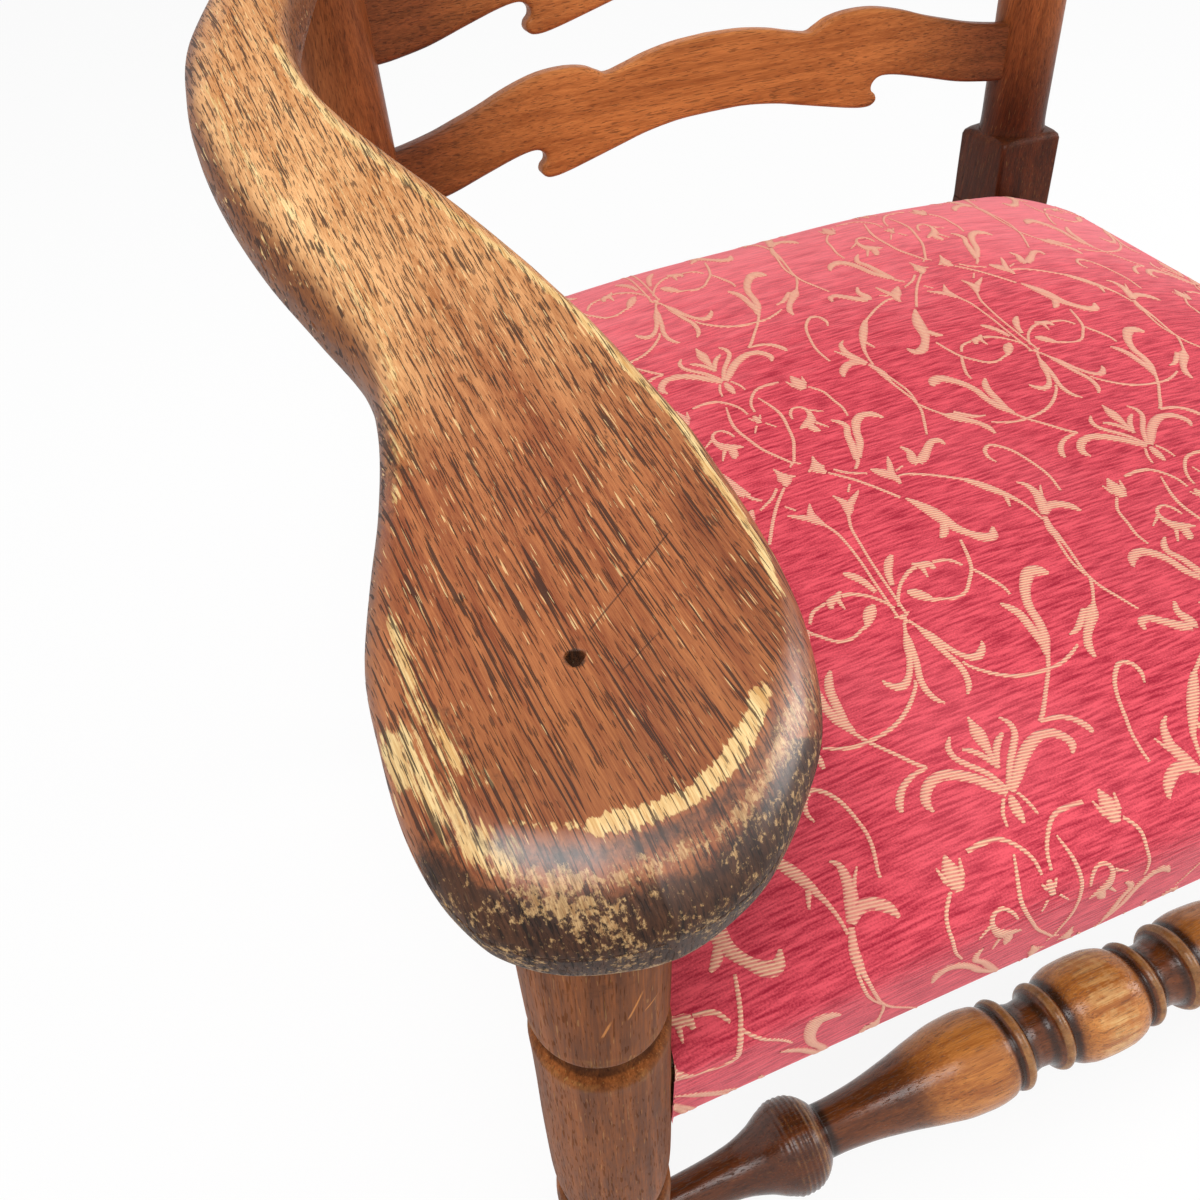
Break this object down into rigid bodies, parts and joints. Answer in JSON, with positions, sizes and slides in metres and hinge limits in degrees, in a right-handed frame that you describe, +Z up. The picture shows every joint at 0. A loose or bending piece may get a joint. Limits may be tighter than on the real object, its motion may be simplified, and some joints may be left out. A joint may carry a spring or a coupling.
{
  "type": "open armchair",
  "caption": "Worn oak open armchair with scrolled paddle arms, turned legs and stretchers, wavy ladder back and a stuffed seat in faded red figured cloth.",
  "frame": {"origin": "on the floor, under the middle of the chair's box", "axes": "+Z up, -Y towards the front, +X to the right of someone facing the back from the front"},
  "size_m": [0.614, 0.5722, 1.0234],
  "materials": {
    "oak_arm": "worn satin stain with bare patches and dark handling dirt",
    "oak_leg": "satin, scratched",
    "oak_post": "satin, dusty at the shoulder",
    "oak_slat": "satin",
    "oak_stretcher": "polished, edges rubbed pale",
    "rail": "bare sawn wood",
    "cover": "ribbed pile cloth, faded",
    "stuffing": "matted hair",
    "webbing": "woven jute"
  },
  "bodies": {
    "root": {"front_leg_left": "oak_leg", "back_post_left": "oak_post", "arm_left": "oak_arm", "seat_rail_left": "rail", "corner_block_front_left": "rail", "corner_block_back_left": "rail", "stretcher_side_left": "oak_stretcher", "front_leg_right": "oak_leg", "back_post_right": "oak_post", "arm_right": "oak_arm", "seat_rail_right": "rail", "corner_block_front_right": "rail", "corner_block_back_right": "rail", "stretcher_side_right": "oak_stretcher", "seat_rail_front": "rail", "seat_rail_back": "rail", "stretcher_front": "oak_stretcher", "stretcher_back": "oak_stretcher", "seat_cover": "cover", "seat_stuffing": "stuffing", "slat_1": "oak_slat", "slat_2": "oak_slat", "slat_3": "oak_slat", "slat_4": "oak_slat", "slat_5": "oak_slat", "slat_6": "oak_slat", "webbing_long_1": "webbing", "webbing_long_2": "webbing", "webbing_long_3": "webbing", "webbing_long_4": "webbing", "webbing_cross_1": "webbing", "webbing_cross_2": "webbing", "webbing_cross_3": "webbing"}
  },
  "joints": []
}
